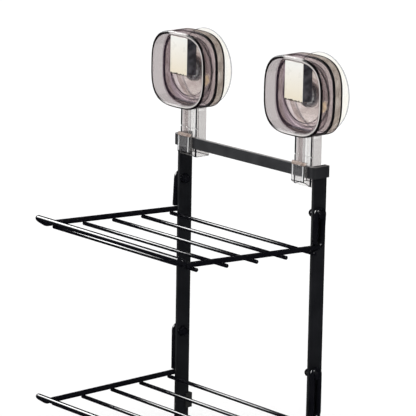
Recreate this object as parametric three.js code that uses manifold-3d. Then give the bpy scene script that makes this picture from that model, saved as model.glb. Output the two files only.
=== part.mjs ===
// Wall-hung shower caddy: two twist-lock suction cups with hooks, a black bar frame
// and two folding wire shelves.
// Millimetres. X runs along the wall, +Y into the wall, +Z up.
// The origin lies on the wall, midway between the cups.
import * as THREE from "three";
import { mergeVertices } from "three/addons/utils/BufferGeometryUtils.js";
import Module from "manifold-3d";

const GAP = 0.3; // clearance between touching pieces
const STANDOFF = 1.7; // everything but the pads is placed from a plane this far in front of the wall

// Suction cups
const CUP_X = 74.75; // from the middle of the caddy to a cup's axis
const CUP_WIDTH = 72.6;
const CUP_HEIGHT = 68.4;
const CUP_POWER = 3.1; // exponent of the rounded-square outline
const OUTLINE_POINTS = 40;
const ROUND_SIDES = 28;

const PAD_RADIUS = 34.6;
const PAD_EDGE = 1.6;
const PAD_SHOULDER_RADIUS = 32.4;
const PAD_FRONT = -9.6;
const PAD_POCKET_RADIUS = 6;
const PAD_POCKET_BACK = -4.7;
const PAD_DISH_RADIUS = 22;
const PAD_DISH_DEPTH = 1.2;

const HOUSING_BACK = -8.2;
const HOUSING_FRONT = -18.1;
const HOUSING_EDGE = 0.9; // chamfer of the outer edges
const HOUSING_RECESS_RADIUS = 28.8;
const HOUSING_RECESS_FLOOR = -15.1;
const HOUSING_WELL_RADIUS = 11.8;
const HOUSING_WELL_FLOOR = -11.2;
const HOUSING_WEB_BACK = -9.4;
const HOUSING_CAVITY_OUTER = 26;
const HOUSING_CAVITY_INNER = 13.6;
const HOUSING_CAVITY_FLOOR = -13.6;
const POST_HOLE_RADIUS = 4.4;

const KNOB_FRONT = -33;
const KNOB_BACK = -18.4;
const KNOB_WALL = 3.6;
const KNOB_EDGE = 1.3; // rounding of the rim
const KNOB_FLOOR = -20;
const KNOB_STEP_RADIUS = 24.2;
const KNOB_STEP_FLOOR = -16.9;
const KNOB_BOSS_RADIUS = 28.4;
const KNOB_BOSS_BACK = -15.4;
const KNOB_WELL_RADIUS = 9.9;
const KNOB_WELL_FLOOR = -12.7;
const KNOB_WELL_OUTER = 11.4;
const KNOB_WELL_BACK = -11.5;
const KNOB_HOLE_RADIUS = 3.4;

const GRIP_HALF_WIDTH = 11.4;
const GRIP_TOP = 29.8;
const GRIP_BOTTOM = -4.2;
const GRIP_FRONT = -31.6;
const GRIP_BACK = -20.3;
const GRIP_EDGE = 0.8;

const POST_FLANGE_RADIUS = 5.4;
const POST_FLANGE_BACK = -5.3;
const POST_FLANGE_FRONT = -7.3;
const POST_SHAFT_RADIUS = 3.6;
const POST_SHAFT_FRONT = -10.9;
const POST_THREAD_RADIUS = 2.6;
const POST_TIP = -16.4;

const HUB_WASHER_RADIUS = 7.6;
const HUB_WASHER_BACK = -13;
const HUB_WASHER_FRONT = -13.8;
const HUB_NUT_RADIUS = 5;
const HUB_NUT_BACK = -14.1;
const HUB_NUT_FRONT = -16;
const HUB_BORE_RADIUS = 2.9;

// Hook brackets
const STEM_HALF_WIDTH = 11;
const STEM_FRONT = -18.3;
const STEM_BACK = -7.2;
const STEM_GROOVE_Z = -52.7;
const STEM_GROOVE = 0.8;
const STEM_WALL = 1.9;
const STEM_RIB = 1.8;
const STEM_POCKET_TOP = -37.5;
const STEM_POCKET_BOTTOM = -65;
const STEM_BOTTOM = -79.2;
const FOOT_TOP = -66; // below this the stem runs back towards the wall
const FOOT_SLOPE = 5;
const FOOT_BACK = -2.9;
const HOOK_HALF_WIDTH = 9.2;
const HOOK_FLOOR = -71.5;
const HOOK_SLOT_FRONT = -21.7;
const LIP_FRONT = -24.3;
const LIP_TOP = -57.7;
const LIP_BOTTOM = -75;
const LIP_BEVEL = 3;
const LIP_LAND = 0.6; // flat left on top of the lip
const LIP_ROUND = 1.6; // radius of its two upright corners
const TONGUE_HALF_WIDTH = 7;
const TONGUE_FRONT = -15.5;
const TONGUE_BACK = -11;
const TONGUE_TOP = -30.6;
const OVERLAP = 1; // how far pieces of one solid run into each other, and cutters run out

// Frame of flat bar
const BAR = 2.6; // bar thickness
const UPRIGHT_X = 87.7; // middle of an upright
const UPRIGHT_FRONT = -18.3;
const UPRIGHT_BACK = -3.3;
const UPRIGHT_TOP = -60.7;
const UPRIGHT_BOTTOM = -336;
const UPRIGHT_ROUND = 3;
const CROSSBAR_FRONT = -21.2;
const CROSSBAR_HEIGHT = 10.4;
const CROSSBAR_LEG_BACK = -3;
const CROSSBAR_ROUND = 3.4; // outer radius of its two bends
const BUMPER_TOP = -306;
const BUMPER_HEIGHT = 14;
const BUMPER_WALL = 1.6;
const BUMPER_REACH = 4.5; // how far it grips round the upright
const BUMPER_BACK = -0.4;

// Shelf bolts
const BOLT_Y = -12.9;
const BOLT_RADIUS = 1.5;
const BOLT_HOLE_RADIUS = 1.8;
const BOLT_HEAD_RADIUS = 3.9;
const BOLT_HEAD_HEIGHT = 2.6;
const BOLT_END = 1.5; // thread showing inside the dome nut
const BOLT_SIDES = 14;
const WASHER_RADIUS = 4.8;
const WASHER_THICKNESS = 0.8;
const NUT_RADIUS = 4.1; // across the corners
const NUT_HEIGHT = 2.8;
const NUT_DOME_RADIUS = 3.3;
const NUT_DOME_LENGTH = 3.4;
const NUT_BORE_DEPTH = 1.9; // beyond the hexagon, into the dome

// Wire shelves
const WIRE = 4.8; // frame wire diameter
const WIRE_SIDES = 8;
const CROSS_WIRE = 3.5; // cross wire diameter
const CROSS_WIRES = 5;
const CROSS_PITCH = 33.7;
const CROSS_OVERHANG = 1.4;
const WIRE_X = UPRIGHT_X + BAR / 2 + GAP + WIRE / 2; // side wires lie on the uprights' outer faces
const LOOP_HALF = BOLT_RADIUS + GAP + WIRE / 2; // half the spacing of a loop's two limbs
const LOOP_BEND = 6;
const SHELF_REACH = 159.2; // bolt axis to front rail
const RAIL_RISE = 5.5;
const RAIL_FLARE = 8; // how far the rail's corners stand outside the side wires
const RAIL_RUN = 7; // length over which the side wire rises to the rail
const LIMB_LIFT = 0.4; // a loop's front limb ends this far above the side wire
const CORNER = 3;
const UPPER = { name: "upper", z: -102.6, drop: 28.8, tilt: 3, rearWire: -5.8 };
const LOWER = { name: "lower", z: -245.4, drop: 39.6, tilt: 0, rearWire: -7.5 };

const wasm = await Module();
wasm.setup();

function solid(geometry) {
  const bare = geometry.index ? geometry.toNonIndexed() : geometry.clone();
  for (const name of Object.keys(bare.attributes)) {
    if (name !== "position") bare.deleteAttribute(name);
  }
  const merged = mergeVertices(bare, 1e-4);
  return new wasm.Manifold(
    new wasm.Mesh({
      numProp: 3,
      vertProperties: merged.attributes.position.array,
      triVerts: new Uint32Array(merged.index.array),
    }),
  );
}

function geometryOf(body) {
  const mesh = body.getMesh();
  const positions = new Float32Array(mesh.numVert * 3);
  for (let i = 0; i < mesh.numVert; i++) {
    const start = i * mesh.numProp;
    positions.set(mesh.vertProperties.subarray(start, start + 3), i * 3);
  }
  const indexed = new THREE.BufferGeometry()
    .setAttribute("position", new THREE.BufferAttribute(positions, 3))
    .setIndex(new THREE.BufferAttribute(new Uint32Array(mesh.triVerts), 1));
  const flat = indexed.toNonIndexed();
  flat.computeVertexNormals();
  return flat;
}

function material(color, roughness, metalness, opacity = 1) {
  const transparent = opacity < 1;
  return new THREE.MeshStandardMaterial({ color, roughness, metalness, opacity, transparent });
}

function piece(parent, name, geometry, look) {
  const mesh = new THREE.Mesh(geometry, look);
  mesh.name = name;
  parent.add(mesh);
  return mesh;
}

// A box between two corners.
function box(x0, x1, y0, y1, z0, z1) {
  const g = new THREE.BoxGeometry(x1 - x0, y1 - y0, z1 - z0);
  return g.translate((x0 + x1) / 2, (y0 + y1) / 2, (z0 + z1) / 2);
}

// A round bar along Y.
function rod(radius, y0, y1, sides = ROUND_SIDES) {
  return new THREE.CylinderGeometry(radius, radius, y1 - y0, sides).translate(0, (y0 + y1) / 2, 0);
}

// A closed profile of [radius, y] pairs turned about the Y axis.
function turned(profile, sides = ROUND_SIDES) {
  const points = profile.map(([r, y]) => new THREE.Vector2(r, y));
  return new THREE.LatheGeometry(points, sides);
}

// The rounded-square outline of the cups, drawn inwards by an inset.
function outline(inset) {
  const a = CUP_WIDTH / 2 - inset;
  const b = CUP_HEIGHT / 2 - inset;
  const shape = new THREE.Shape();
  const points = [];
  for (let i = 0; i < OUTLINE_POINTS; i++) {
    const t = (i / OUTLINE_POINTS) * 2 * Math.PI;
    const c = Math.cos(t);
    const s = Math.sin(t);
    const r = Math.pow(Math.abs(c) ** CUP_POWER + Math.abs(s) ** CUP_POWER, -1 / CUP_POWER);
    points.push(new THREE.Vector2(a * r * c, b * r * s));
  }
  return shape.setFromPoints(points);
}

// The cup outline extruded from y1 (towards the wall) out to y0, with edge chamfers if asked for.
function slab(inset, y0, y1, edge = 0, segments = 1) {
  const depth = y1 - y0 - 2 * edge;
  const g = new THREE.ExtrudeGeometry(outline(inset), {
    depth,
    bevelEnabled: edge > 0,
    bevelThickness: edge,
    bevelSize: edge,
    bevelOffset: -edge,
    bevelSegments: segments,
  });
  return g.rotateX(Math.PI / 2).translate(0, y1 - edge, 0);
}

function padGeometry() {
  return turned([
    [0, PAD_POCKET_BACK],
    [PAD_POCKET_RADIUS, PAD_POCKET_BACK],
    [PAD_POCKET_RADIUS, PAD_FRONT],
    [PAD_SHOULDER_RADIUS, PAD_FRONT],
    [PAD_RADIUS, -PAD_EDGE],
    [PAD_RADIUS, 0],
    [PAD_DISH_RADIUS, 0],
    [PAD_DISH_RADIUS / 2, -PAD_DISH_DEPTH],
    [0, -PAD_DISH_DEPTH],
  ]);
}

function housingGeometry() {
  let body = solid(slab(0, HOUSING_FRONT, HOUSING_BACK, HOUSING_EDGE));
  body = body.subtract(
    solid(rod(HOUSING_RECESS_RADIUS, HOUSING_FRONT - OVERLAP, HOUSING_RECESS_FLOOR)),
  );
  body = body.subtract(
    solid(rod(HOUSING_WELL_RADIUS, HOUSING_RECESS_FLOOR - OVERLAP, HOUSING_WELL_FLOOR)),
  );
  const cavity = solid(rod(HOUSING_CAVITY_OUTER, HOUSING_CAVITY_FLOOR, HOUSING_BACK + OVERLAP));
  const core = solid(rod(HOUSING_CAVITY_INNER, HOUSING_CAVITY_FLOOR - OVERLAP, HOUSING_WEB_BACK));
  body = body.subtract(cavity.subtract(core));
  body = body.subtract(solid(rod(POST_HOLE_RADIUS, HOUSING_RECESS_FLOOR, HOUSING_BACK + OVERLAP)));
  const socket = box(
    -TONGUE_HALF_WIDTH - GAP,
    TONGUE_HALF_WIDTH + GAP,
    TONGUE_FRONT - GAP,
    TONGUE_BACK + GAP,
    -CUP_HEIGHT,
    TONGUE_TOP + GAP,
  );
  return geometryOf(body.subtract(solid(socket)));
}

function knobGeometry() {
  let body = solid(slab(0, KNOB_FRONT, KNOB_BACK, KNOB_EDGE, 2));
  body = body.subtract(solid(slab(KNOB_WALL, KNOB_FRONT - OVERLAP, KNOB_FLOOR)));
  body = body.add(solid(rod(KNOB_BOSS_RADIUS, KNOB_FLOOR + OVERLAP, KNOB_BOSS_BACK)));
  body = body.add(solid(rod(KNOB_WELL_OUTER, KNOB_STEP_FLOOR, KNOB_WELL_BACK)));
  body = body.subtract(solid(rod(KNOB_STEP_RADIUS, KNOB_FRONT, KNOB_STEP_FLOOR)));
  body = body.subtract(solid(rod(KNOB_WELL_RADIUS, KNOB_FRONT, KNOB_WELL_FLOOR)));
  body = body.subtract(solid(rod(KNOB_HOLE_RADIUS, KNOB_FRONT, 0)));
  return geometryOf(body);
}

function gripGeometry() {
  const shape = new THREE.Shape();
  const w = GRIP_HALF_WIDTH - GRIP_EDGE;
  shape.moveTo(-w, GRIP_BOTTOM + GRIP_EDGE);
  shape.lineTo(w, GRIP_BOTTOM + GRIP_EDGE);
  shape.lineTo(w, GRIP_TOP - GRIP_EDGE);
  shape.lineTo(-w, GRIP_TOP - GRIP_EDGE);
  const g = new THREE.ExtrudeGeometry(shape, {
    depth: GRIP_BACK - GRIP_FRONT - 2 * GRIP_EDGE,
    bevelThickness: GRIP_EDGE,
    bevelSize: GRIP_EDGE,
    bevelSegments: 2,
  });
  return geometryOf(solid(g.rotateX(Math.PI / 2).translate(0, GRIP_BACK - GRIP_EDGE, 0)));
}

function postGeometry() {
  return turned(
    [
      [0, POST_TIP],
      [POST_THREAD_RADIUS, POST_TIP],
      [POST_THREAD_RADIUS, POST_SHAFT_FRONT],
      [POST_SHAFT_RADIUS, POST_SHAFT_FRONT],
      [POST_SHAFT_RADIUS, POST_FLANGE_FRONT],
      [POST_FLANGE_RADIUS, POST_FLANGE_FRONT],
      [POST_FLANGE_RADIUS, POST_FLANGE_BACK],
      [0, POST_FLANGE_BACK],
    ],
    16,
  );
}

// A ring along Y with a round bore; a hexagon when sides is 6.
function ring(radius, bore, y0, y1, sides) {
  const body = solid(rod(radius, y0, y1, sides));
  return geometryOf(body.subtract(solid(rod(bore, y0 - OVERLAP, y1 + OVERLAP, 16))));
}

// A side profile of [y, z] pairs extruded along X, centred on the middle plane.
function sideSolid(profile, halfWidth) {
  const shape = new THREE.Shape(profile.map(([y, z]) => new THREE.Vector2(y, z)));
  const g = new THREE.ExtrudeGeometry(shape, { depth: 2 * halfWidth, bevelEnabled: false });
  // Local x becomes Y, local y becomes Z and local z becomes X.
  g.applyMatrix4(new THREE.Matrix4().set(0, 0, 1, 0, 1, 0, 0, 0, 0, 1, 0, 0, 0, 0, 0, 1));
  return solid(g.translate(-halfWidth, 0, 0));
}

// The turned-up lip and the floor under the cross bar, narrower than the stem, with round upright corners.
function hookSolid() {
  const root = STEM_FRONT + OVERLAP;
  const side = sideSolid(
    [
      [root, HOOK_FLOOR],
      [HOOK_SLOT_FRONT, HOOK_FLOOR],
      [HOOK_SLOT_FRONT, LIP_TOP],
      [HOOK_SLOT_FRONT - LIP_LAND, LIP_TOP],
      [LIP_FRONT, LIP_TOP - LIP_BEVEL],
      [LIP_FRONT, LIP_BOTTOM],
      [STEM_FRONT, STEM_BOTTOM],
      [root, STEM_BOTTOM],
    ],
    HOOK_HALF_WIDTH,
  );
  const w = HOOK_HALF_WIDTH;
  const r = LIP_ROUND;
  const plan = new THREE.Shape();
  plan.moveTo(w, root);
  plan.lineTo(-w, root);
  plan.lineTo(-w, LIP_FRONT + r);
  plan.absarc(-w + r, LIP_FRONT + r, r, Math.PI, 1.5 * Math.PI);
  plan.lineTo(w - r, LIP_FRONT);
  plan.absarc(w - r, LIP_FRONT + r, r, 1.5 * Math.PI, 2 * Math.PI);
  const column = new THREE.ExtrudeGeometry(plan, {
    depth: LIP_TOP - STEM_BOTTOM,
    bevelEnabled: false,
    curveSegments: 4,
  });
  return side.intersect(solid(column.translate(0, 0, STEM_BOTTOM)));
}

function bracketGeometry() {
  const top = TONGUE_TOP - GAP;
  let body = sideSolid(
    [
      [STEM_BACK, top],
      [STEM_BACK, FOOT_TOP],
      [FOOT_BACK, FOOT_TOP - FOOT_SLOPE],
      [FOOT_BACK, STEM_BOTTOM],
      [STEM_FRONT, STEM_BOTTOM],
      [STEM_FRONT, STEM_GROOVE_Z - STEM_GROOVE],
      [STEM_FRONT + STEM_GROOVE, STEM_GROOVE_Z - STEM_GROOVE],
      [STEM_FRONT + STEM_GROOVE, STEM_GROOVE_Z],
      [STEM_FRONT, STEM_GROOVE_Z],
      [STEM_FRONT, top],
    ],
    STEM_HALF_WIDTH,
  );
  body = body.add(hookSolid());
  // The top of the stem follows the underside of the cup.
  body = body.subtract(solid(slab(-GAP, STEM_FRONT - OVERLAP, STEM_BACK + OVERLAP)));
  const tongue = box(
    -TONGUE_HALF_WIDTH,
    TONGUE_HALF_WIDTH,
    TONGUE_FRONT,
    TONGUE_BACK,
    STEM_POCKET_TOP,
    TONGUE_TOP,
  );
  body = body.add(solid(tongue));
  for (const side of [-1, 1]) {
    const near = (side * STEM_RIB) / 2;
    const far = side * (STEM_HALF_WIDTH - STEM_WALL);
    const pocket = box(
      Math.min(near, far),
      Math.max(near, far),
      STEM_FRONT + STEM_GROOVE + STEM_WALL,
      STEM_BACK + OVERLAP,
      STEM_POCKET_BOTTOM,
      STEM_POCKET_TOP,
    );
    body = body.subtract(solid(pocket));
  }
  return geometryOf(body);
}

// The cross bar and its bent ends, as one strip drawn from above.
function crossbarGeometry() {
  const outer = UPRIGHT_X + BAR / 2 + GAP + BAR;
  const inner = outer - BAR;
  const back = CROSSBAR_FRONT + BAR;
  const round = CROSSBAR_ROUND;
  const innerRound = CROSSBAR_ROUND - BAR;
  const shape = new THREE.Shape();
  shape.moveTo(-outer, CROSSBAR_LEG_BACK);
  shape.lineTo(-outer, CROSSBAR_FRONT + round);
  shape.absarc(-outer + round, CROSSBAR_FRONT + round, round, Math.PI, 1.5 * Math.PI);
  shape.lineTo(outer - round, CROSSBAR_FRONT);
  shape.absarc(outer - round, CROSSBAR_FRONT + round, round, 1.5 * Math.PI, 2 * Math.PI);
  shape.lineTo(outer, CROSSBAR_LEG_BACK);
  shape.lineTo(inner, CROSSBAR_LEG_BACK);
  shape.lineTo(inner, back + innerRound);
  shape.absarc(inner - innerRound, back + innerRound, innerRound, 0, -Math.PI / 2, true);
  shape.lineTo(-inner + innerRound, back);
  shape.absarc(-inner + innerRound, back + innerRound, innerRound, -Math.PI / 2, -Math.PI, true);
  shape.lineTo(-inner, CROSSBAR_LEG_BACK);
  const g = new THREE.ExtrudeGeometry(shape, {
    depth: CROSSBAR_HEIGHT,
    bevelEnabled: false,
    curveSegments: 5,
  });
  return g.translate(0, 0, UPRIGHT_TOP - CROSSBAR_HEIGHT);
}

// One upright with its two bolt holes and rounded lower corners.
function uprightGeometry() {
  const r = UPRIGHT_ROUND;
  const shape = new THREE.Shape();
  shape.moveTo(UPRIGHT_BACK, UPRIGHT_TOP);
  shape.lineTo(UPRIGHT_FRONT, UPRIGHT_TOP);
  shape.lineTo(UPRIGHT_FRONT, UPRIGHT_BOTTOM + r);
  shape.absarc(UPRIGHT_FRONT + r, UPRIGHT_BOTTOM + r, r, Math.PI, 1.5 * Math.PI);
  shape.lineTo(UPRIGHT_BACK - r, UPRIGHT_BOTTOM);
  shape.absarc(UPRIGHT_BACK - r, UPRIGHT_BOTTOM + r, r, 1.5 * Math.PI, 2 * Math.PI);
  for (const tier of [UPPER, LOWER]) {
    const hole = new THREE.Path();
    hole.absarc(BOLT_Y, tier.z, BOLT_HOLE_RADIUS, 0, 2 * Math.PI);
    shape.holes.push(hole);
  }
  const g = new THREE.ExtrudeGeometry(shape, {
    depth: BAR,
    bevelEnabled: false,
    curveSegments: 6,
  });
  g.applyMatrix4(new THREE.Matrix4().set(0, 0, 1, 0, 1, 0, 0, 0, 0, 1, 0, 0, 0, 0, 0, 1));
  return g.translate(-BAR / 2, 0, 0);
}

// A rubber clip pushed over an upright's back edge.
function bumperGeometry() {
  const half = BAR / 2 + GAP + BUMPER_WALL;
  const slot = BAR / 2 + GAP;
  const reach = UPRIGHT_BACK - BUMPER_REACH;
  const body = solid(
    box(-half, half, reach, BUMPER_BACK, BUMPER_TOP - BUMPER_HEIGHT, BUMPER_TOP),
  );
  const cut = box(
    -slot,
    slot,
    reach - OVERLAP,
    UPRIGHT_BACK + GAP,
    BUMPER_TOP - BUMPER_HEIGHT - OVERLAP,
    BUMPER_TOP + OVERLAP,
  );
  return geometryOf(body.subtract(solid(cut)));
}

// Fasteners are turned about Y, pointing along +Y, and are laid along X where they are placed.
function boltGeometry() {
  const head = WIRE_X - UPRIGHT_X + WIRE / 2 + GAP;
  const tip = BAR / 2 + GAP + WASHER_THICKNESS + GAP + NUT_HEIGHT + BOLT_END;
  return turned(
    [
      [0, -tip],
      [BOLT_RADIUS, -tip],
      [BOLT_RADIUS, head],
      [BOLT_HEAD_RADIUS, head],
      [BOLT_HEAD_RADIUS, head + BOLT_HEAD_HEIGHT * 0.35],
      [BOLT_HEAD_RADIUS * 0.72, head + BOLT_HEAD_HEIGHT * 0.82],
      [BOLT_HEAD_RADIUS * 0.36, head + BOLT_HEAD_HEIGHT],
      [0, head + BOLT_HEAD_HEIGHT],
    ],
    BOLT_SIDES,
  );
}

function washerGeometry() {
  const face = BAR / 2 + GAP;
  return ring(WASHER_RADIUS, BOLT_HOLE_RADIUS, -face - WASHER_THICKNESS, -face, BOLT_SIDES);
}

function nutGeometry() {
  const face = -(BAR / 2 + GAP + WASHER_THICKNESS + GAP);
  const shoulder = face - NUT_HEIGHT;
  const end = shoulder - NUT_DOME_LENGTH;
  let body = solid(rod(NUT_RADIUS, shoulder, face, 6));
  const dome = turned(
    [
      [0, end],
      [NUT_DOME_RADIUS * 0.5, end + NUT_DOME_LENGTH * 0.14],
      [NUT_DOME_RADIUS * 0.87, end + NUT_DOME_LENGTH * 0.5],
      [NUT_DOME_RADIUS, shoulder],
      [NUT_DOME_RADIUS, face - GAP],
      [0, face - GAP],
    ],
    BOLT_SIDES,
  );
  body = body.add(solid(dome));
  const bore = rod(BOLT_RADIUS + GAP, shoulder - NUT_BORE_DEPTH, face + OVERLAP, 12);
  return geometryOf(body.subtract(solid(bore)));
}

// A wire's centre line through given points, with round bends; straight runs take one step each.
class WireCurve extends THREE.Curve {
  constructor(corners, radii, bendSteps) {
    super();
    this.points = [corners[0]];
    for (let i = 1; i < corners.length - 1; i++) {
      const before = corners[i - 1].clone().sub(corners[i]).normalize();
      const after = corners[i + 1].clone().sub(corners[i]).normalize();
      const half = before.angleTo(after) / 2;
      const setback = radii[i] / Math.tan(half);
      const axis = before.clone().add(after).normalize();
      const centre = corners[i].clone().addScaledVector(axis, radii[i] / Math.sin(half));
      const start = corners[i].clone().addScaledVector(before, setback).sub(centre);
      const turn = new THREE.Vector3().crossVectors(after, before).normalize();
      const sweep = Math.PI - 2 * half;
      const steps = Math.max(2, Math.round((sweep / (Math.PI / 2)) * bendSteps));
      for (let k = 0; k <= steps; k++) {
        const spoke = start.clone().applyAxisAngle(turn, (sweep * k) / steps);
        this.points.push(centre.clone().add(spoke));
      }
    }
    this.points.push(corners[corners.length - 1]);
  }

  get steps() {
    return this.points.length - 1;
  }

  getPointAt(u, target = new THREE.Vector3()) {
    const at = Math.min(this.steps, Math.max(0, Math.round(u * this.steps)));
    return target.copy(this.points[at]);
  }

  getTangentAt(u, target = new THREE.Vector3()) {
    const at = Math.round(u * this.steps);
    const here = this.points[at];
    const next = this.points[Math.min(this.steps, at + 1)].clone().sub(here);
    const last = here.clone().sub(this.points[Math.max(0, at - 1)]);
    return target.copy(next.normalize().add(last.normalize())).normalize();
  }
}

// The bent frame wire, measured from the bolt axis: loops at the back, side wires, raised front rail.
function frameWireGeometry(drop) {
  const at = (x, y, z) => new THREE.Vector3(x, y, z);
  const limbEnd = -drop + WIRE / 2 + LIMB_LIFT;
  const rail = RAIL_RISE - drop;
  const front = -SHELF_REACH;
  const half = (side) => [
    at(side * WIRE_X, -LOOP_HALF, limbEnd),
    at(side * WIRE_X, -LOOP_HALF, LOOP_HALF),
    at(side * WIRE_X, LOOP_HALF, LOOP_HALF),
    at(side * WIRE_X, LOOP_HALF, -drop),
    at(side * WIRE_X, front + RAIL_RUN, -drop),
    at(side * (WIRE_X + RAIL_FLARE), front, rail),
  ];
  const tight = LOOP_HALF - 0.01;
  const bends = [0, tight, tight, LOOP_BEND, CORNER, CORNER];
  const corners = [...half(-1), ...half(1).reverse()];
  const path = new WireCurve(corners, [...bends, ...bends.slice().reverse()], 4);
  const section = new THREE.Shape();
  section.absarc(0, 0, WIRE / 2, 0, 2 * Math.PI);
  return new THREE.ExtrudeGeometry(section, {
    steps: path.steps,
    extrudePath: path,
    curveSegments: WIRE_SIDES / 2,
  });
}

function crossWireGeometry() {
  const length = 2 * (WIRE_X + WIRE / 2 + CROSS_OVERHANG);
  return new THREE.CylinderGeometry(CROSS_WIRE / 2, CROSS_WIRE / 2, length, 8).rotateZ(Math.PI / 2);
}

const caddy = new THREE.Group();
const hung = new THREE.Group();
hung.position.y = -STANDOFF;
caddy.add(hung);
const sides = [
  { name: "left", sign: -1 },
  { name: "right", sign: 1 },
];

for (const { name, sign } of sides) {
  const cup = new THREE.Group();
  cup.position.x = sign * CUP_X;
  hung.add(cup);
  const pad = piece(caddy, `${name}_suction_pad`, padGeometry(), material(0xe9e8e2, 0.25, 0, 0.4));
  pad.position.x = sign * CUP_X;
  piece(cup, `${name}_housing`, housingGeometry(), material(0x857a74, 0.1, 0, 0.7));
  piece(cup, `${name}_hook_bracket`, bracketGeometry(), material(0xcbc8c8, 0.1, 0, 0.5));
  piece(cup, `${name}_knob`, knobGeometry(), material(0x9a9092, 0.08, 0, 0.6));
  piece(cup, `${name}_grip`, gripGeometry(), material(0xe8e2d4, 0.35, 0));
  piece(cup, `${name}_pull_post`, postGeometry(), material(0x8d8f92, 0.3, 1));
  piece(
    cup,
    `${name}_hub_washer`,
    ring(HUB_WASHER_RADIUS, HUB_BORE_RADIUS, HUB_WASHER_FRONT, HUB_WASHER_BACK, 20),
    material(0x2b2b2f, 0.3, 0.8),
  );
  piece(
    cup,
    `${name}_hub_nut`,
    ring(HUB_NUT_RADIUS, HUB_BORE_RADIUS, HUB_NUT_FRONT, HUB_NUT_BACK, 6),
    material(0x3a3a3f, 0.25, 1),
  );

  const upright = piece(hung, `${name}_upright`, uprightGeometry(), material(0x16171b, 0.45, 0.2));
  upright.position.x = sign * UPRIGHT_X;
  const bumper = piece(hung, `${name}_bumper`, bumperGeometry(), material(0x1d1d1f, 0.8, 0));
  bumper.position.x = sign * UPRIGHT_X;
}

piece(hung, "cross_bar", crossbarGeometry(), material(0x3b3b3f, 0.4, 0.2));

for (const tier of [UPPER, LOWER]) {
  for (const { name, sign } of sides) {
    const fasteners = new THREE.Group();
    fasteners.position.set(sign * UPRIGHT_X, BOLT_Y, tier.z);
    // Local +Y points outwards, away from the middle of the caddy.
    fasteners.rotation.z = (-sign * Math.PI) / 2;
    hung.add(fasteners);
    const stem = `${tier.name}_${name}`;
    piece(fasteners, `${stem}_bolt`, boltGeometry(), material(0x0f0f12, 0.2, 0.4));
    piece(fasteners, `${stem}_washer`, washerGeometry(), material(0x17171a, 0.3, 0.4));
    piece(fasteners, `${stem}_dome_nut`, nutGeometry(), material(0x0f0f12, 0.15, 0.5));
  }

  const shelf = new THREE.Group();
  shelf.position.set(0, BOLT_Y, tier.z);
  shelf.rotation.x = -THREE.MathUtils.degToRad(tier.tilt);
  hung.add(shelf);
  const black = material(0x0c0c0f, 0.12, 0.3);
  piece(shelf, `${tier.name}_frame_wire`, frameWireGeometry(tier.drop), black);
  for (let i = 0; i < CROSS_WIRES; i++) {
    const wire = piece(
      shelf,
      `${tier.name}_cross_wire_${i + 1}`,
      crossWireGeometry(),
      material(0x0c0c0f, 0.12, 0.3),
    );
    wire.position.y = tier.rearWire - i * CROSS_PITCH;
    wire.position.z = -tier.drop - (WIRE + CROSS_WIRE) / 2 - GAP;
  }
}

export default caddy;
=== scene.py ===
# Looks of the shower caddy: cups, hooks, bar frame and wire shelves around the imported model.
import math

import bmesh
import bpy
from mathutils import Matrix, Vector


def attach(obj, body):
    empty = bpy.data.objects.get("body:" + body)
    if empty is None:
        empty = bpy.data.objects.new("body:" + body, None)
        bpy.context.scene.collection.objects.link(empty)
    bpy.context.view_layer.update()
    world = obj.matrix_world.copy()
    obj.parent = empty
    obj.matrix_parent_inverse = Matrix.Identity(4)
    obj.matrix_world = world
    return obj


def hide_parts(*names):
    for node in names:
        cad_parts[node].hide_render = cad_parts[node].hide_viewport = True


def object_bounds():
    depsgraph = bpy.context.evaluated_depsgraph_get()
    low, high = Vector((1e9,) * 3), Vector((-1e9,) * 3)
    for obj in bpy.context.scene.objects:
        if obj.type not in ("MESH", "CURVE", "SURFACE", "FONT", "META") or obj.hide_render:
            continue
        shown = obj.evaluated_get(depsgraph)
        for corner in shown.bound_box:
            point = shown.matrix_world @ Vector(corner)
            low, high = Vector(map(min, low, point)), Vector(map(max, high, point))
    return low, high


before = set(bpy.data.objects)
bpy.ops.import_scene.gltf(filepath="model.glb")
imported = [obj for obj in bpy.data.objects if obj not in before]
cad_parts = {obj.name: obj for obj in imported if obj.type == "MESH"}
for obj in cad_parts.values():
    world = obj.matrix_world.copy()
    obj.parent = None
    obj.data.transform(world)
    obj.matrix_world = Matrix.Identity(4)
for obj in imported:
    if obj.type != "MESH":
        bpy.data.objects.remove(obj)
cad_low, cad_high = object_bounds()

MM = 0.001
CUP_X = 74.75  # cup axis, mm from the middle
CUP_HALF_WIDTH = 36.3
CUP_HALF_HEIGHT = 34.2
CUP_POWER = 3.1
OUTLINE_SIDES = 120
SIDES = {"left": -1, "right": 1}
GAP = 0.3  # between pieces that touch
STEM_HALF = 11.0
STEM_FRONT = -20.0
HOOK_HALF = 9.2
LIP_BOTTOM = -75.0
STANDOFF = 1.7  # the pads touch the wall; the rest is measured from a plane in front of it
BOLT_Y = -12.9 - STANDOFF
UPRIGHT_X = 87.7
BAR = 2.6  # the uprights' thickness
BOLT_RADIUS = 1.5
WIRE = 4.8  # frame wire's diameter
WIRE_X = UPRIGHT_X + BAR / 2 + GAP + WIRE / 2
CROSS_WIRE = 3.5
CROSS_WIRES = 5
CROSS_PITCH = 33.7
CROSS_OVERHANG = 1.4
CROSS_HALF = WIRE_X + WIRE / 2 + CROSS_OVERHANG
LOOP_HALF = BOLT_RADIUS + GAP + WIRE / 2
LOOP_BEND = 6.0
LIMB_LIFT = 0.4  # the loop's free end stops this far above the side wire
SHELF_REACH = 159.2
RAIL_RISE = 5.5
RAIL_FLARE = 8.0  # how far the rail's corners stand outside the side wires
RAIL_RUN = 7.0
CORNER = 3.0
TIERS = {
    "upper": {"z": -102.6, "drop": 28.8, "tilt": 3.0, "rear_wire": -5.8},
    "lower": {"z": -245.4, "drop": 39.6, "tilt": 0.0, "rear_wire": -7.5},
}


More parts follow.
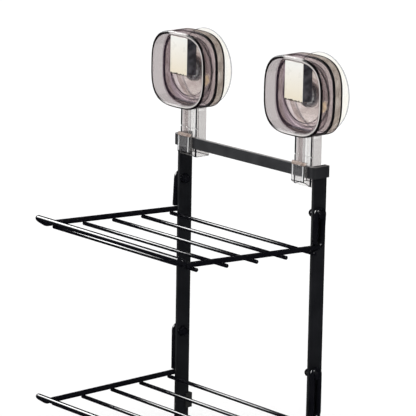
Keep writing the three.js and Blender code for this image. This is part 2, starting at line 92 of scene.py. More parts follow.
# ---------------------------------------------------------------- camera
AZIMUTH = math.radians(48.5)
ELEVATION = math.radians(13.32)
ROLL = math.radians(1.0)
DISTANCE = 2492.68
SIDE_SHIFT = 31.96
DROP_SHIFT = -51.21
FIT_ORIGIN = Vector((0, -18.3 - STANDOFF, -60.7))
FOCAL = 2849.03 / 416 * 36


def make_camera():
    forward = Vector(
        (
            -math.sin(AZIMUTH) * math.cos(ELEVATION),
            math.cos(AZIMUTH) * math.cos(ELEVATION),
            -math.sin(ELEVATION),
        )
    )
    level = Vector((math.cos(AZIMUTH), math.sin(AZIMUTH), 0))
    above = level.cross(forward)
    right = math.cos(ROLL) * level + math.sin(ROLL) * above
    up = -math.sin(ROLL) * level + math.cos(ROLL) * above
    where = FIT_ORIGIN - (SIDE_SHIFT * right - DROP_SHIFT * up + DISTANCE * forward)
    data = bpy.data.cameras.new("camera")
    data.lens = FOCAL
    data.sensor_width = 36
    data.clip_end = 100
    camera = bpy.data.objects.new("camera", data)
    camera.matrix_world = Matrix(
        (
            (right.x, up.x, -forward.x, where.x * MM),
            (right.y, up.y, -forward.y, where.y * MM),
            (right.z, up.z, -forward.z, where.z * MM),
            (0, 0, 0, 1),
        )
    )
    bpy.context.scene.collection.objects.link(camera)
    bpy.context.scene.camera = camera


make_camera()


# ---------------------------------------------------------------- node helpers
def new_material(name):
    material = bpy.data.materials.new(name)
    material.use_nodes = True
    nodes = material.node_tree.nodes
    nodes.clear()
    return material, nodes, material.node_tree.links


def object_noise(nodes, links, scale, detail=3.0, stretch=(1, 1, 1)):
    place = nodes.new("ShaderNodeTexCoord")
    mapping = nodes.new("ShaderNodeMapping")
    mapping.inputs["Scale"].default_value = stretch
    noise = nodes.new("ShaderNodeTexNoise")
    noise.inputs["Scale"].default_value = scale
    noise.inputs["Detail"].default_value = detail
    links.new(place.outputs["Object"], mapping.inputs["Vector"])
    links.new(mapping.outputs["Vector"], noise.inputs["Vector"])
    return noise.outputs["Fac"]


def spread(nodes, links, value, low, high, start=0.3, stop=0.7):
    span = nodes.new("ShaderNodeMapRange")
    span.inputs["From Min"].default_value = start
    span.inputs["From Max"].default_value = stop
    span.inputs["To Min"].default_value = low
    span.inputs["To Max"].default_value = high
    links.new(value, span.inputs["Value"])
    return span.outputs["Result"]


def two_colours(nodes, links, value, first, second, start=0.3, stop=0.7):
    ramp = nodes.new("ShaderNodeValToRGB")
    ramp.color_ramp.elements[0].position = start
    ramp.color_ramp.elements[0].color = (*first, 1)
    ramp.color_ramp.elements[1].position = stop
    ramp.color_ramp.elements[1].color = (*second, 1)
    links.new(value, ramp.inputs["Fac"])
    return ramp.outputs["Color"]


def bump(nodes, links, value, distance):
    node = nodes.new("ShaderNodeBump")
    node.inputs["Distance"].default_value = distance
    node.inputs["Strength"].default_value = 1.0
    links.new(value, node.inputs["Height"])
    return node.outputs["Normal"]


def paint(name, first, second, rough, specular, grain, grain_depth):
    """Coated metal: fine orange peel in the bump, a little variation in colour and gloss."""
    material, nodes, links = new_material(name)
    shader = nodes.new("ShaderNodeBsdfPrincipled")
    output = nodes.new("ShaderNodeOutputMaterial")
    links.new(shader.outputs[0], output.inputs["Surface"])
    broad = object_noise(nodes, links, 45, 3)
    fine = object_noise(nodes, links, grain, 4)
    links.new(two_colours(nodes, links, broad, first, second), shader.inputs["Base Color"])
    links.new(spread(nodes, links, broad, rough[0], rough[1]), shader.inputs["Roughness"])
    links.new(bump(nodes, links, fine, grain_depth), shader.inputs["Normal"])
    shader.inputs["Specular IOR Level"].default_value = specular
    return material


def add_glow(nodes, links, amount, surface, glow):
    """Warm light caught in the plastic around a point: glow is (centre in mm, radius in mm, colour)."""
    centre, radius, colour = glow
    place = nodes.new("ShaderNodeTexCoord")
    gap = nodes.new("ShaderNodeVectorMath")
    gap.operation = "DISTANCE"
    gap.inputs[1].default_value = [c * MM for c in centre]
    links.new(place.outputs["Object"], gap.inputs[0])
    ragged = nodes.new("ShaderNodeMath")
    links.new(gap.outputs["Value"], ragged.inputs[0])
    links.new(spread(nodes, links, object_noise(nodes, links, 260, 1), -0.002, 0.002), ragged.inputs[1])
    near = spread(nodes, links, ragged.outputs[0], 1, 0, 0, radius * MM)
    warm = nodes.new("ShaderNodeMix")
    warm.data_type = "RGBA"
    warm.inputs["B"].default_value = (*colour, 1)
    links.new(near, warm.inputs["Factor"])
    links.new(surface, warm.inputs["A"])
    more = nodes.new("ShaderNodeMath")
    more.operation = "MULTIPLY_ADD"
    more.inputs[1].default_value = 0.6
    links.new(near, more.inputs[0])
    links.new(amount, more.inputs[2])
    return more.outputs[0], warm.outputs["Result"]


def clear(name, tint, body, cover, rough, patches=None, gloss=0.3, wave=0.00004, rise=0.12, glow=None):
    """Clear plastic: what lies behind shows through in the tint, with some body colour over it."""
    material, nodes, links = new_material(name)
    output = nodes.new("ShaderNodeOutputMaterial")
    shader = nodes.new("ShaderNodeBsdfPrincipled")
    through = nodes.new("ShaderNodeBsdfTransparent")
    mix = nodes.new("ShaderNodeMixShader")
    broad = object_noise(nodes, links, patches[2] if patches else 60, 3)
    if patches:
        links.new(two_colours(nodes, links, broad, tint, patches[0]), through.inputs["Color"])
        surface = two_colours(nodes, links, broad, body, patches[1])
    else:
        through.inputs["Color"].default_value = (*tint, 1)
        dim = tuple(0.9 * c for c in body)
        surface = two_colours(nodes, links, broad, body, dim)
    links.new(spread(nodes, links, broad, rough[0], rough[1]), shader.inputs["Roughness"])
    shader.inputs["Specular IOR Level"].default_value = gloss
    ripple = object_noise(nodes, links, 160, 2)
    links.new(bump(nodes, links, ripple, wave), shader.inputs["Normal"])
    facing = nodes.new("ShaderNodeLayerWeight")
    facing.inputs["Blend"].default_value = 0.25
    share = nodes.new("ShaderNodeMapRange")
    share.inputs["To Min"].default_value = cover
    share.inputs["To Max"].default_value = min(1.0, cover + rise)
    links.new(facing.outputs["Fresnel"], share.inputs["Value"])
    amount = share.outputs["Result"]
    if glow:
        amount, surface = add_glow(nodes, links, amount, surface, glow)
    links.new(amount, mix.inputs["Fac"])
    links.new(surface, shader.inputs["Base Color"])
    links.new(through.outputs[0], mix.inputs[1])
    links.new(shader.outputs[0], mix.inputs[2])
    links.new(mix.outputs[0], output.inputs["Surface"])
    return material


def set_stops(ramp, stops):
    """Fills a colour ramp with (position, colour) stops."""
    elements = ramp.color_ramp.elements
    while len(elements) < len(stops):
        elements.new(0.5)
    for element, (position, colour) in zip(elements, stops):
        element.position = position
        element.color = (*colour, 1)


BANDED_ROUGHNESS = (0.04, 0.1)
BANDED_WAVE = 0.00008


def banded(name, half_width, stops):
    """Clear plastic whose tint, body and cover change across X: stops of (x in mm, tint, body, cover)."""
    material, nodes, links = new_material(name)
    output = nodes.new("ShaderNodeOutputMaterial")
    shader = nodes.new("ShaderNodeBsdfPrincipled")
    through = nodes.new("ShaderNodeBsdfTransparent")
    mix = nodes.new("ShaderNodeMixShader")
    place = nodes.new("ShaderNodeTexCoord")
    axes = nodes.new("ShaderNodeSeparateXYZ")
    links.new(place.outputs["Object"], axes.inputs[0])
    wander = object_noise(nodes, links, 60, 2)
    shift = spread(nodes, links, wander, -0.0004, 0.0004)
    moved = nodes.new("ShaderNodeMath")
    links.new(axes.outputs["X"], moved.inputs[0])
    links.new(shift, moved.inputs[1])
    across = spread(nodes, links, moved.outputs[0], 0, 1, -half_width * MM, half_width * MM)
    tint, body, cover = (nodes.new("ShaderNodeValToRGB") for _ in range(3))
    at = [(x + half_width) / (2 * half_width) for x, *_ in stops]
    set_stops(tint, [(p, stop[1]) for p, stop in zip(at, stops)])
    set_stops(body, [(p, stop[2]) for p, stop in zip(at, stops)])
    set_stops(cover, [(p, (stop[3],) * 3) for p, stop in zip(at, stops)])
    for ramp in (tint, body, cover):
        links.new(across, ramp.inputs["Fac"])
    links.new(tint.outputs["Color"], through.inputs["Color"])
    links.new(body.outputs["Color"], shader.inputs["Base Color"])
    links.new(cover.outputs["Color"], mix.inputs["Fac"])
    links.new(spread(nodes, links, wander, *BANDED_ROUGHNESS), shader.inputs["Roughness"])
    ripple = object_noise(nodes, links, 160, 2)
    links.new(bump(nodes, links, ripple, BANDED_WAVE), shader.inputs["Normal"])
    shader.inputs["Specular IOR Level"].default_value = 0.3
    links.new(through.outputs[0], mix.inputs[1])
    links.new(shader.outputs[0], mix.inputs[2])
    links.new(mix.outputs[0], output.inputs["Surface"])
    return material


# ---------------------------------------------------------------- materials
SMOKE_WALL = clear(
    "smoke_wall", (0.72, 0.69, 0.69), (0.50, 0.46, 0.46), 0.04, (0.05, 0.12),
    glow=((36.3, -29.5, -4), 6, (1.0, 0.70, 0.36)),
)
SMOKE_FLOOR = clear("smoke_floor", (0.84, 0.79, 0.82), (0.48, 0.42, 0.45), 0.05, (0.08, 0.2))
SMOKE_INNER = clear(
    "smoke_inner", (0.97, 0.95, 0.95), (0.70, 0.66, 0.66), 0.05, (0.08, 0.25),
    patches=((0.88, 0.84, 0.84), (0.52, 0.47, 0.47), 90), wave=0.0002,
)
# painted refraction: the near-black lines at the knob's inner fillets and steps
SMOKE_REFRACTION_LINE = clear("smoke_refraction_line", (0.16, 0.12, 0.16), (0.05, 0.035, 0.05), 0.5, (0.2, 0.3), gloss=0.1)
SMOKE_WELL = clear(
    "smoke_well", (0.34, 0.34, 0.36), (0.10, 0.10, 0.11), 0.3, (0.08, 0.15),
    patches=((0.8, 0.8, 0.83), (0.6, 0.6, 0.63), 260), wave=0.0003,
)
HOUSING_WALL = clear(
    "housing_wall", (0.57, 0.53, 0.50), (0.33, 0.30, 0.27), 0.08, (0.06, 0.2),
    patches=((0.36, 0.31, 0.28), (0.12, 0.10, 0.085), 170), wave=0.0001,
)
HOUSING_FACE = clear(
    "housing_face", (0.96, 0.94, 0.94), (0.66, 0.62, 0.62), 0.04, (0.08, 0.2),
    patches=((0.83, 0.79, 0.79), (0.36, 0.32, 0.32), 120), wave=0.0001,
)
HARD_CLEAR = clear("hard_clear", (0.965, 0.96, 0.955), (0.75, 0.73, 0.72), 0.04, (0.04, 0.1))
# painted shade: a darker copy of the hook's clear plastic, used on its side and back faces
HARD_CLEAR_SHADED_SIDE = clear("hard_clear_shaded_side", (0.78, 0.765, 0.76), (0.60, 0.58, 0.57), 0.10, (0.04, 0.1))
# painted refraction: near-black lower edges and grey outer outlines on the hook's clear plastic
HARD_CLEAR_EDGE = clear("hard_clear_edge", (0.03, 0.03, 0.035), (0.01, 0.01, 0.012), 0.85, (0.1, 0.2))
HARD_CLEAR_REFRACTION_OUTLINE = clear("hard_clear_refraction_outline", (0.40, 0.40, 0.42), (0.25, 0.25, 0.26), 0.3, (0.05, 0.1))
# painted light: the peach colour on the lip's upper slope stands in for warm light caught there
PEACH_LIGHT_BEVEL = clear(
    "peach_light_bevel", (0.85, 0.74, 0.66), (0.88, 0.76, 0.68), 0.55, (0.1, 0.2),
    patches=((0.5, 0.4, 0.36), (0.40, 0.30, 0.26), 330), wave=0.0002, gloss=0.0,
)
# Band colours for the hook's clear faces: DARK bands are painted refraction lines at the edges, PALE and
# white bands of high cover are painted highlights.
DARK = (0.015, 0.015, 0.018)
PALE = (0.92, 0.92, 0.92)
MAUVE = (0.66, 0.61, 0.61)
GLASSY = (0.93, 0.93, 0.93)
# painted highlight and refraction: dark edge lines and a white highlight band near the right, over a face
# that turns from mauve on the left to clear on the right
STEM_FACE = banded("stem_face", STEM_HALF, [
    (-11.0, DARK, DARK, 0.9), (-9.2, DARK, DARK, 0.9), (-8.8, PALE, PALE, 0.3), (-8.0, MAUVE, MAUVE, 0.15),
    (-1.2, MAUVE, MAUVE, 0.2), (-0.2, GLASSY, PALE, 0.3), (0.8, GLASSY, PALE, 0.15),
    (6.9, GLASSY, PALE, 0.15),
    (7.4, PALE, (1, 1, 1), 0.6), (8.9, PALE, (1, 1, 1), 0.6), (9.3, DARK, DARK, 0.9),
    (11.0, DARK, DARK, 0.9),
])
# painted highlight and refraction: dark edge bands and white double highlight lines across the lip's front
LIP_FACE = banded("lip_face", HOOK_HALF, [
    (-9.2, DARK, DARK, 0.5), (-8.7, GLASSY, PALE, 0.3), (-7.5, (0.5, 0.5, 0.55), (0.3, 0.3, 0.33), 0.25),
    (-7.0, PALE, (1, 1, 1), 0.75), (-6.3, PALE, (1, 1, 1), 0.75), (-5.8, GLASSY, (0.5, 0.5, 0.55), 0.08),
    (5.4, GLASSY, (0.5, 0.5, 0.55), 0.08), (5.8, PALE, (1, 1, 1), 0.75), (6.6, PALE, (1, 1, 1), 0.75),
    (7.0, DARK, DARK, 0.6), (8.0, DARK, DARK, 0.6), (8.6, PALE, (1, 1, 1), 0.55),
])
SOFT_CLEAR = clear(
    "soft_clear", (0.985, 0.975, 0.935), (0.95, 0.93, 0.84), 0.06, (0.12, 0.3),
    patches=((0.995, 0.99, 0.975), (0.97, 0.96, 0.92), 70), gloss=0.05, rise=0.08,
)
SOFT_CLEAR_EDGE = clear("soft_clear_edge", (0.62, 0.63, 0.66), (0.40, 0.41, 0.44), 0.3, (0.1, 0.2))


def side_amount(nodes, links, both):
    """Distance in X from the middle plane: to both sides, or only to the left."""
    place = nodes.new("ShaderNodeTexCoord")
    axes = nodes.new("ShaderNodeSeparateXYZ")
    links.new(place.outputs["Object"], axes.inputs[0])
    across = nodes.new("ShaderNodeMath")
    across.operation = "ABSOLUTE" if both else "MULTIPLY"
    across.inputs[1].default_value = -1
    links.new(axes.outputs["X"], across.inputs[0])
    return axes, across


def rim_material(name, both, low_span=(0.013, 0.024), high_span=(0.0095, 0.0125)):
    """The knob's front edge: deep smoke at the sides, clear over the grip and along the bottom; the change
    around the edge is painted refraction, dark where dark surroundings would show and clear where the pale
    floor would.
    """
    material, nodes, links = new_material(name)
    output = nodes.new("ShaderNodeOutputMaterial")
    shader = nodes.new("ShaderNodeBsdfPrincipled")
    through = nodes.new("ShaderNodeBsdfTransparent")
    mix = nodes.new("ShaderNodeMixShader")
    axes, across = side_amount(nodes, links, both)
    upper = nodes.new("ShaderNodeMath")
    upper.operation = "GREATER_THAN"
    upper.inputs[1].default_value = 0.0
    links.new(axes.outputs["Z"], upper.inputs[0])
    low = spread(nodes, links, across.outputs[0], 0, 1, *low_span)
    high = spread(nodes, links, across.outputs[0], 0, 1, *high_span)
    side = nodes.new("ShaderNodeMix")
    links.new(upper.outputs[0], side.inputs["Factor"])
    links.new(low, side.inputs["A"])
    links.new(high, side.inputs["B"])
    dark = side.outputs["Result"]
    tint = two_colours(nodes, links, dark, (0.97, 0.96, 0.96), (0.02, 0.018, 0.02), 0.0, 1.0)
    body = two_colours(nodes, links, dark, (0.9, 0.87, 0.85), (0.006, 0.005, 0.006), 0.0, 1.0)
    links.new(tint, through.inputs["Color"])
    links.new(body, shader.inputs["Base Color"])
    noise = object_noise(nodes, links, 120, 3)
    links.new(spread(nodes, links, noise, 0.08, 0.2), shader.inputs["Roughness"])
    shader.inputs["Specular IOR Level"].default_value = 0.2
    mix.inputs["Fac"].default_value = 0.6
    links.new(through.outputs[0], mix.inputs[1])
    links.new(shader.outputs[0], mix.inputs[2])
    links.new(mix.outputs[0], output.inputs["Surface"])
    return material


# painted refraction: the knob's rim is near-black at the sides and clear over the grip and along the
# bottom, set by position
SMOKE_RIM_REFRACTION = rim_material("smoke_rim_refraction", True)
# the inner rim: the same painted refraction, dark only towards the left
SMOKE_RIM_INNER_REFRACTION = rim_material("smoke_rim_inner_refraction", False)


def edge_material(name):
    """A back edge of the cup: a painted refraction line, deep smoke on the right, paler towards the left,
    top and bottom.
    """
    material, nodes, links = new_material(name)
    output = nodes.new("ShaderNodeOutputMaterial")
    shader = nodes.new("ShaderNodeBsdfPrincipled")
    through = nodes.new("ShaderNodeBsdfTransparent")
    mix = nodes.new("ShaderNodeMixShader")
    axes, across = side_amount(nodes, links, False)
    tall = nodes.new("ShaderNodeMath")
    tall.operation = "ABSOLUTE"
    links.new(axes.outputs["Z"], tall.inputs[0])
    reach = nodes.new("ShaderNodeMath")
    reach.operation = "MULTIPLY_ADD"
    reach.inputs[1].default_value = 0.6
    links.new(tall.outputs[0], reach.inputs[0])
    links.new(across.outputs[0], reach.inputs[2])
    pale = spread(nodes, links, reach.outputs[0], 0, 1, 0.005, 0.022)
    tint = two_colours(nodes, links, pale, (0.03, 0.027, 0.03), (0.55, 0.5, 0.52), 0.0, 1.0)
    links.new(tint, through.inputs["Color"])
    links.new(
        two_colours(nodes, links, pale, (0.008, 0.007, 0.009), (0.2, 0.17, 0.19), 0.0, 1.0),
        shader.inputs["Base Color"],
    )
    noise = object_noise(nodes, links, 120, 3)
    links.new(spread(nodes, links, noise, 0.25, 0.35), shader.inputs["Roughness"])
    shader.inputs["Specular IOR Level"].default_value = 0.1
    links.new(spread(nodes, links, pale, 0.9, 0.15, 0, 1), mix.inputs["Fac"])
    links.new(through.outputs[0], mix.inputs[1])
    links.new(shader.outputs[0], mix.inputs[2])
    links.new(mix.outputs[0], output.inputs["Surface"])
    return material


# painted refraction: the dark line along the knob's back edge
SMOKE_EDGE_REFRACTION = edge_material("smoke_edge_refraction")
# painted refraction on the rim's outer fillet: dark along the whole bottom, clear only over the grip
SMOKE_RIM_SIDE_REFRACTION = rim_material("smoke_rim_side_refraction", True, (-0.02, -0.01), (0.010, 0.0135))
SMOKE_TRIM = clear("smoke_trim", (0.66, 0.62, 0.63), (0.62, 0.58, 0.58), 0.3, (0.06, 0.15), gloss=0.3)
SATIN_BLACK = paint(
    "satin_black", (0.008, 0.0085, 0.011), (0.012, 0.013, 0.017), (0.34, 0.44),
    0.4, 900, 0.00003,
)
# painted light: the uprights' satin black lifted a little for the cross bar, standing in for the front
# light on it
SATIN_BLACK_LIT = paint(
    "satin_grey_black", (0.016, 0.0165, 0.020), (0.022, 0.023, 0.027), (0.34, 0.46),
    0.5, 900, 0.00003,
)
# painted light: a much paler copy for the cross bar's top face, where the overhead light falls
SATIN_LIT_TOP = paint(
    "satin_lit_top", (0.17, 0.16, 0.16), (0.34, 0.32, 0.315), (0.4, 0.5),
    0.4, 900, 0.00003,
)
GLOSS_BLACK = paint(
    "gloss_black", (0.004, 0.004, 0.006), (0.007, 0.007, 0.009), (0.07, 0.12),
    0.3, 240, 0.00002,
)
RUBBER = paint(
    "rubber_black", (0.012, 0.012, 0.012), (0.022, 0.022, 0.022), (0.7, 0.85),
    0.2, 1500, 0.00008,
)


def ivory_material():
    material, nodes, links = new_material("ivory")
    shader = nodes.new("ShaderNodeBsdfPrincipled")
    output = nodes.new("ShaderNodeOutputMaterial")
    links.new(shader.outputs[0], output.inputs["Surface"])
    place = nodes.new("ShaderNodeTexCoord")
    axes = nodes.new("ShaderNodeSeparateXYZ")
    links.new(place.outputs["Object"], axes.inputs[0])
    height = spread(nodes, links, axes.outputs["Z"], 0, 1, -0.006, 0.0287)
    ragged = nodes.new("ShaderNodeMath")
    links.new(axes.outputs["Z"], ragged.inputs[0])
    links.new(spread(nodes, links, object_noise(nodes, links, 500, 2), -0.0007, 0.0007), ragged.inputs[1])
    # painted shadow: the lowest millimetre or so of the ivory face turns dark brown along a ragged line;
    # the face also runs warmer and darker towards the bottom
    lower = spread(nodes, links, ragged.outputs[0], 1, 0, -0.0032, -0.0028)
    face = two_colours(nodes, links, height, (0.84, 0.75, 0.58), (0.93, 0.92, 0.88), 0.0, 1.0)
    mixed = nodes.new("ShaderNodeMix")
    mixed.data_type = "RGBA"
    mixed.inputs["B"].default_value = (0.03, 0.022, 0.02, 1)
    links.new(lower, mixed.inputs["Factor"])
    links.new(face, mixed.inputs["A"])
    links.new(mixed.outputs["Result"], shader.inputs["Base Color"])
    noise = object_noise(nodes, links, 120, 3)
    links.new(spread(nodes, links, noise, 0.25, 0.36), shader.inputs["Roughness"])
    fine = object_noise(nodes, links, 700, 3)
    links.new(bump(nodes, links, fine, 0.00002), shader.inputs["Normal"])
    shader.inputs["Subsurface Weight"].default_value = 0.0
    return material


IVORY = ivory_material()
# painted shade: dark mottled smoked clear for the grip's side faces and its left and lower bevels
GRIP_SIDE_SHADE = clear(
    "grip_side_shade", (0.12, 0.12, 0.14), (0.045, 0.045, 0.055), 0.8, (0.1, 0.2),
    patches=((0.4, 0.4, 0.43), (0.16, 0.16, 0.18), 190), wave=0.0001,
)
# painted shade: a dark brown underside and lower bevels for the grip, flecked with warm painted refraction
GRIP_UNDER_SHADE = clear(
    "grip_under_shade", (0.10, 0.07, 0.05), (0.02, 0.015, 0.012), 0.85, (0.08, 0.15),
    patches=((0.75, 0.62, 0.5), (0.55, 0.42, 0.32), 420), wave=0.0004,
)
# painted light: pale glossy finish for the grip's top, back and upper and right-hand bevels
GRIP_LIT_BEVEL = paint("grip_lit_bevel", (0.86, 0.82, 0.76), (0.92, 0.90, 0.86), (0.2, 0.3), 0.5, 500, 0.00001)


def steel_material():
    material, nodes, links = new_material("hub_steel")
    shader = nodes.new("ShaderNodeBsdfPrincipled")
    output = nodes.new("ShaderNodeOutputMaterial")
    links.new(shader.outputs[0], output.inputs["Surface"])
    noise = object_noise(nodes, links, 350, 4, (1, 0.15, 1))
    metal = two_colours(nodes, links, noise, (0.55, 0.55, 0.58), (0.95, 0.95, 0.96))
    links.new(metal, shader.inputs["Base Color"])
    links.new(spread(nodes, links, noise, 0.18, 0.34), shader.inputs["Roughness"])
    links.new(bump(nodes, links, noise, 0.00004), shader.inputs["Normal"])
    shader.inputs["Metallic"].default_value = 0.35
    return material


STEEL = steel_material()


# ---------------------------------------------------------------- mesh helpers
def make_piece(name, vertices, faces, zones, materials, place=(0, 0, 0)):
    mesh = bpy.data.meshes.new(name)
    mesh.from_pydata([tuple(MM * c for c in v) for v in vertices], [], faces)
    for polygon, zone in zip(mesh.polygons, zones):
        polygon.material_index = zone
        polygon.use_smooth = True
    for material in materials:
        mesh.materials.append(material)
    mesh.update()
    bm = bmesh.new()
    bm.from_mesh(mesh)
    bmesh.ops.recalc_face_normals(bm, faces=bm.faces)
    bm.to_mesh(mesh)
    bm.free()
    piece = bpy.data.objects.new(name, mesh)
    piece.location = [MM * c for c in place]
    bpy.context.scene.collection.objects.link(piece)
    return piece


def weighted(piece):
    modifier = piece.modifiers.new("weighted", "WEIGHTED_NORMAL")
    modifier.keep_sharp = True
    return piece


def outline_radius(angle, inset):
    a = CUP_HALF_WIDTH - inset
    b = CUP_HALF_HEIGHT - inset
    c, s = math.cos(angle), math.sin(angle)
    r = (abs(c) ** CUP_POWER + abs(s) ** CUP_POWER) ** (-1 / CUP_POWER)
    return a * r * c, b * r * s


def filleted(profile):
    """Rounds the corners of a closed profile of (kind, value, y, radius, face zone, corner zone)."""
    flat = [(-p[1] if p[0] == "s" else p[1] - CUP_HALF_WIDTH, p[2]) for p in profile]
    rings = []
    count = len(profile)
    for i, (kind, value, y, radius, zone, corner_zone) in enumerate(profile):
        here = Vector(flat[i])
        last = Vector(flat[i - 1])
        after = Vector(flat[(i + 1) % count])
        if radius <= 0:
            rings.append((kind, value, y, zone))
            continue
        back = (last - here).normalized()
        on = (after - here).normalized()
        half = back.angle(on) / 2
        reach = radius / math.tan(half)
        start = here + back * reach
        stop = here + on * reach
        centre = here + (back + on).normalized() * (radius / math.sin(half))
        steps = 4 if radius > 0.5 else 3
        for k in range(steps + 1):
            f = k / steps
            spoke = ((start - centre).lerp(stop - centre, f)).normalized() * radius
            at = centre + spoke
            moved = -at.x if kind == "s" else at.x + CUP_HALF_WIDTH
            rings.append((kind, moved, at.y, corner_zone if k < steps else zone))
    return rings


def turned_cup(name, profile, materials, place, closed=True):
    """A closed profile swept round the Y axis, on the cup outline or on a circle."""
    rings = filleted(profile)
    sides = OUTLINE_SIDES
    vertices, faces, zones = [], [], []
    for kind, value, y, _zone in rings:
        for k in range(sides):
            angle = 2 * math.pi * k / sides
            if kind == "s":
                x, z = outline_radius(angle, value)
            else:
                x, z = value * math.cos(angle), value * math.sin(angle)
            vertices.append((x, y, z))
    last = len(rings) if closed else len(rings) - 1
    for i in range(last):
        j = (i + 1) % len(rings)
        for k in range(sides):
            m = (k + 1) % sides
            faces.append((i * sides + k, i * sides + m, j * sides + m, j * sides + k))
            zones.append(rings[i][3])
    return weighted(make_piece(name, vertices, faces, zones, materials, place))


MERGE_DISTANCE = 1e-6  # metres
FLAT_ANGLE = math.radians(1.0)
SHARP_ANGLE = math.radians(30)


def clean_flats(bm):
    """Joins a faceted mesh's doubled points and its triangles that lie in one plane."""
    bmesh.ops.remove_doubles(bm, verts=bm.verts, dist=MERGE_DISTANCE)
    bmesh.ops.dissolve_limit(bm, angle_limit=FLAT_ANGLE, verts=bm.verts, edges=bm.edges)


def from_cad(name, node, body, materials, width):
    """A copy of a CAD node's mesh with its flats cleaned up and its edges rounded."""
    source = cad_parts[node]
    bm = bmesh.new()
    bm.from_mesh(source.data)
    clean_flats(bm)
    mesh = bpy.data.meshes.new(name)
    bm.to_mesh(mesh)
    bm.free()
    mesh.materials.clear()
    for material in materials:
        mesh.materials.append(material)
    for polygon in mesh.polygons:
        polygon.material_index = 0
        polygon.use_smooth = True
    piece = bpy.data.objects.new(name, mesh)
    bpy.context.scene.collection.objects.link(piece)
    bevel = piece.modifiers.new("edges", "BEVEL")
    bevel.width = width * MM
    bevel.segments = 2
    bevel.limit_method = "ANGLE"
    bevel.angle_limit = SHARP_ANGLE
    bevel.harden_normals = False
    weighted(piece)
    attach(piece, body)
    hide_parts(node)
    return piece


LIP_DEPTH = 3  # the lip's front face lies at least this far in front of the stem's
PEACH_ABOVE = -64  # the lip's slope above this height catches warm light
BACK_PLANE = -9
LOWER_BEVEL = 0.55
OUTER_BEVEL = 0.3


def make_bracket(name, node, middle):
    """The clear hook: banded faces carrying painted highlights and refraction lines, painted dark
    refraction along the lower edges and outer outlines, a darker shaded copy on the sides and back, and a
    peach bevel of painted warm light on the lip.
    """
    bm = bmesh.new()
    bm.from_mesh(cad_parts[node].data)
    bmesh.ops.translate(bm, vec=(-middle * MM, 0, 0), verts=bm.verts)
    clean_flats(bm)
    plain, shaded_side_zone, edge_zone, refraction_outline_zone, stem_zone, lip_zone, peach_light_zone = range(7)
    for f in bm.faces:
        f.smooth = True
        at = f.calc_center_median() / MM
        n = f.normal
        f.material_index = plain
        if n.y < -0.9 and at.y < STEM_FRONT + 1.0:
            f.material_index = lip_zone if at.y < STEM_FRONT - LIP_DEPTH else stem_zone
        elif abs(n.x) > 0.9 and abs(at.x) > HOOK_HALF - 0.3:
            f.material_index = shaded_side_zone
        elif n.y < -0.2 and n.z > 0.2 and at.z > PEACH_ABOVE:
            f.material_index = peach_light_zone
        elif n.y > 0.9 and at.y > BACK_PLANE:
            f.material_index = shaded_side_zone

    def lower(e):
        middle_point = (e.verts[0].co + e.verts[1].co) / 2 / MM
        return middle_point.z < LIP_BOTTOM + 0.5 and e.calc_face_angle(0) > 0.3

    # the lip's lower edges are bevelled into a painted dark refraction line
    bmesh.ops.bevel(
        bm, geom=[e for e in bm.edges if lower(e)], offset=LOWER_BEVEL * MM, segments=2,
        profile=0.5, affect="EDGES", material=edge_zone, clamp_overlap=True,
    )

    def outer(e):
        middle_point = (e.verts[0].co + e.verts[1].co) / 2 / MM
        outside = abs(middle_point.x) > STEM_HALF - 0.05 or middle_point.y < STEM_FRONT + 0.5
        above = middle_point.z > LIP_BOTTOM + 0.5
        return outside and above and e.is_manifold and e.calc_face_angle(0) > 0.5

    # the outer edges above are bevelled into a grey painted refraction outline
    bmesh.ops.bevel(
        bm, geom=[e for e in bm.edges if outer(e)], offset=OUTER_BEVEL * MM, segments=2, profile=0.5,
        affect="EDGES", material=refraction_outline_zone, clamp_overlap=True,
    )
    mesh = bpy.data.meshes.new(name)
    bm.to_mesh(mesh)
    bm.free()
    zones = (
        HARD_CLEAR, HARD_CLEAR_SHADED_SIDE, HARD_CLEAR_EDGE, HARD_CLEAR_REFRACTION_OUTLINE, STEM_FACE, LIP_FACE,
        PEACH_LIGHT_BEVEL,
    )
    for material in zones:
        mesh.materials.append(material)
    piece = bpy.data.objects.new(name, mesh)
    piece.location = (middle * MM, 0, 0)
    bpy.context.scene.collection.objects.link(piece)
    weighted(piece)
    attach(piece, "wall_mounts")
    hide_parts(node)
    return piece


BEND_STEPS = 8  # in a quarter turn


def bent_path(corners, radii):
    """Points along straight runs joined by round bends."""
    points = [Vector(corners[0])]
    for i in range(1, len(corners) - 1):
        here = Vector(corners[i])
        before = (Vector(corners[i - 1]) - here).normalized()
        after = (Vector(corners[i + 1]) - here).normalized()
        half = before.angle(after) / 2
        setback = radii[i] / math.tan(half)
        centre = here + (before + after).normalized() * (radii[i] / math.sin(half))
        start = here + before * setback - centre
        turn = after.cross(before).normalized()
        sweep = math.pi - 2 * half
        steps = max(3, round(sweep / (math.pi / 2) * BEND_STEPS))
        for k in range(steps + 1):
            points.append(centre + Matrix.Rotation(sweep * k / steps, 3, turn) @ start)
    points.append(Vector(corners[-1]))
    kept = [points[0]]
    for p in points[1:]:
        if (p - kept[-1]).length > 1e-4:
            kept.append(p)
    return kept


DOME = 0.35  # depth of a wire's domed end, as a share of its radius
DOME_RINGS = ((0.0, 0.3), (0.35, 0.75), (0.75, 0.95))  # (height, radius) as shares


